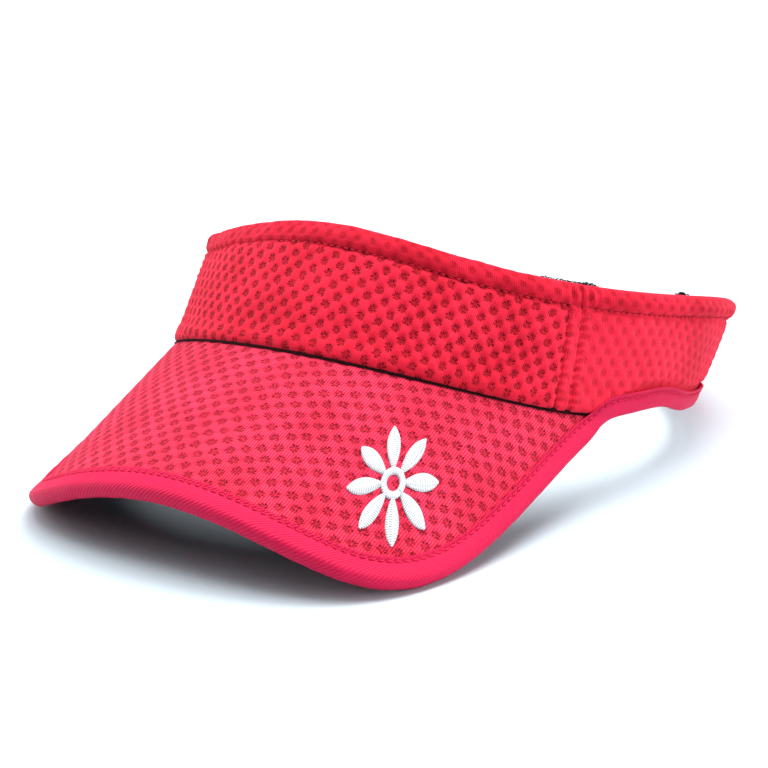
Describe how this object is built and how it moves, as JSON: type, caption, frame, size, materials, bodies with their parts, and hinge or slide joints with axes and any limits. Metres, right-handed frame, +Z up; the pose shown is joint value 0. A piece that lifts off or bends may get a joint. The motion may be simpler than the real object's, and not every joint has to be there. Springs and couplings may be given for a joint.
{
  "type": "sun visor",
  "caption": "Open-crown sports sun visor with a padded mesh headband, a curved mesh-covered bill with taped edge and a hook-and-loop strap at the back.",
  "frame": {"origin": "centre of the footprint of the resting visor, on the surface that it rests on", "axes": "the wearer faces -Y, +X is the wearer's left, +Z is up; the bill's corners and the back of the band stand on Z = 0"},
  "size_m": [0.1912, 0.2764, 0.0873],
  "materials": {
    "crimson_mesh": "padded knitted mesh with small holes, matt",
    "bill_mesh": "knitted mesh stretched flat, matt",
    "foam": "thin sponge, matt",
    "crimson_knit": "knitted, matt",
    "crimson_tape": "woven, matt",
    "magenta_twill": "twill tape, matt",
    "bill_plastic": "flexible sheet",
    "black_cloth": "plain weave, matt",
    "black_terry": "terry loops, matt",
    "black_tape": "woven, matt",
    "black_webbing": "webbing, matt",
    "black_hook": "small nylon hooks",
    "black_loop": "napped loops",
    "white_thread": "satin stitch",
    "label_cloth": "smooth woven label, blank"
  },
  "bodies": {
    "visor": {"front_panel_mesh": "crimson_mesh", "front_panel_foam": "foam", "side_panel_mesh_left": "crimson_mesh", "side_panel_mesh_right": "crimson_mesh", "side_panel_foam_left": "foam", "side_panel_foam_right": "foam", "side_seam_tape_left": "crimson_tape", "side_seam_tape_right": "crimson_tape", "back_edge_binding_left": "magenta_twill", "back_edge_binding_right": "magenta_twill", "panel_end_tape_left": "black_tape", "panel_end_tape_right": "black_tape", "top_edge_binding": "crimson_knit", "sweatband_terry": "black_terry", "bill_top_cover": "bill_mesh", "bill_board": "bill_plastic", "bill_under_cover": "black_cloth", "bill_edge_binding": "magenta_twill", "embroidered_motif": "white_thread", "care_label": "label_cloth", "loop_patch": "black_loop"},
    "strap": {"closure_strap": "black_webbing"},
    "strap_tip": {"closure_strap_tip": "black_webbing", "hook_patch": "black_hook"}
  },
  "joints": [
    {"name": "strap_length", "type": "hinge", "parent": "visor", "child": "strap", "pos_m": [0, 0.04596, 0.01506], "axis": [0, 0.2036, 0.9791], "range_deg": [-6, 6]},
    {"name": "strap_peel", "type": "hinge", "parent": "strap", "child": "strap_tip", "pos_m": [-0.02492, 0.127, 0.00444], "axis": [0.1282, -0.5934, -0.7946], "range_deg": [0, 75]}
  ]
}
